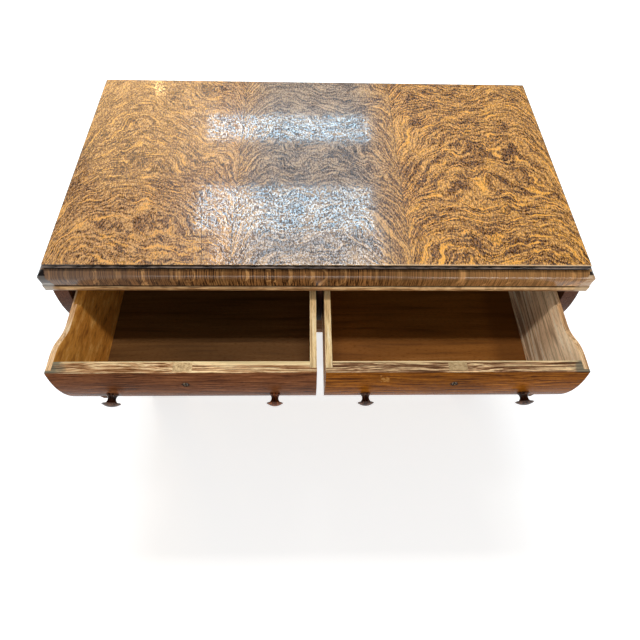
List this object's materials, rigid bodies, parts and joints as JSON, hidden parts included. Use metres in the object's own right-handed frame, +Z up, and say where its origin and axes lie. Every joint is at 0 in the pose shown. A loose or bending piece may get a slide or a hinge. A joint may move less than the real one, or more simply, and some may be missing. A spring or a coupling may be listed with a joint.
{
  "type": "writing table",
  "caption": "Oak writing table with a veneered top in a bullnose moulding, two swelled drawers with locks and turned knobs, scroll legs on foot blocks and a shaped shelf.",
  "frame": {"origin": "on the floor, under the middle of the whole reach of the table with its drawers standing open", "axes": "+Z up, +X to the right of a person sitting at the drawers, -Y the way the drawers open"},
  "size_m": [1.178, 0.8868, 0.762],
  "materials": {
    "oak_veneer": "quarter-sawn oak veneer with wavy golden flakes, glossy varnish",
    "ebonised_edge": "near-black stained edge, satin",
    "oak_moulding": "cross-grain quarter-sawn oak veneer on a bullnose, varnished",
    "oak_bead": "long-grain oak, varnished and worn light",
    "oak_case": "red-brown oak, varnished",
    "rail_wood": "unfinished secondary wood",
    "oak_base": "red-brown oak, varnished",
    "screw_steel": "dull steel",
    "oak_front": "red-brown to golden oak, varnished",
    "drawer_oak": "golden oak, unvarnished, rubbed smooth",
    "drawer_floor": "darkened thin oak board",
    "knob_wood": "dark turned hardwood, polished",
    "brass": "old brass, dull",
    "screw_brass": "old brass screws, dull"
  },
  "bodies": {
    "table": {"veneer_left": "oak_veneer", "veneer_centre": "oak_veneer", "veneer_right": "oak_veneer", "top_core": "ebonised_edge", "frame_front": "oak_moulding", "frame_back": "oak_moulding", "frame_left": "oak_moulding", "frame_right": "oak_moulding", "bead_front": "oak_bead", "bead_back": "oak_bead", "bead_left": "oak_bead", "bead_right": "oak_bead", "end_panel_left": "oak_case", "end_panel_right": "oak_case", "back_apron": "oak_case", "centre_divider": "oak_case", "front_rail": "rail_wood", "back_rail": "rail_wood", "runner_left": "rail_wood", "runner_centre": "rail_wood", "runner_right": "rail_wood", "guide_left": "rail_wood", "guide_right": "rail_wood", "kicker_left": "rail_wood", "kicker_right": "rail_wood", "drawer_stop_left": "rail_wood", "drawer_stop_right": "rail_wood", "bearer_left": "oak_base", "bearer_right": "oak_base", "leg_front_left": "oak_base", "leg_front_right": "oak_base", "leg_back_left": "oak_base", "leg_back_right": "oak_base", "foot_block_left": "oak_base", "foot_block_right": "oak_base", "shelf": "oak_base", "bearer_screws": "screw_steel"},
    "drawer_left": {"drawer_front_left": "oak_front", "drawer_outer_side_left": "drawer_oak", "drawer_inner_side_left": "drawer_oak", "drawer_back_left": "drawer_oak", "drawer_bottom_left": "drawer_floor", "knob_outer_left": "knob_wood", "knob_inner_left": "knob_wood", "lock_screws_left": "screw_brass", "lock_left": "brass", "keyhole_liner_left": "brass"},
    "drawer_right": {"drawer_front_right": "oak_front", "drawer_outer_side_right": "drawer_oak", "drawer_inner_side_right": "drawer_oak", "drawer_back_right": "drawer_oak", "drawer_bottom_right": "drawer_floor", "knob_outer_right": "knob_wood", "knob_inner_right": "knob_wood", "lock_screws_right": "screw_brass", "lock_right": "brass", "keyhole_liner_right": "brass"},
    "bolt_left": {"lock_bolt_left": "brass"},
    "bolt_right": {"lock_bolt_right": "brass"}
  },
  "joints": [
    {"name": "drawer_left_slide", "type": "slide", "parent": "table", "child": "drawer_left", "axis": [0, -1, 0], "range_m": [-0.196, 0.25]},
    {"name": "bolt_left_slide", "type": "slide", "parent": "drawer_left", "child": "bolt_left", "axis": [0, 0, 1], "range_m": [0, 0.008]},
    {"name": "drawer_right_slide", "type": "slide", "parent": "table", "child": "drawer_right", "axis": [0, -1, 0], "range_m": [-0.196, 0.25]},
    {"name": "bolt_right_slide", "type": "slide", "parent": "drawer_right", "child": "bolt_right", "axis": [0, 0, 1], "range_m": [0, 0.008]}
  ]
}
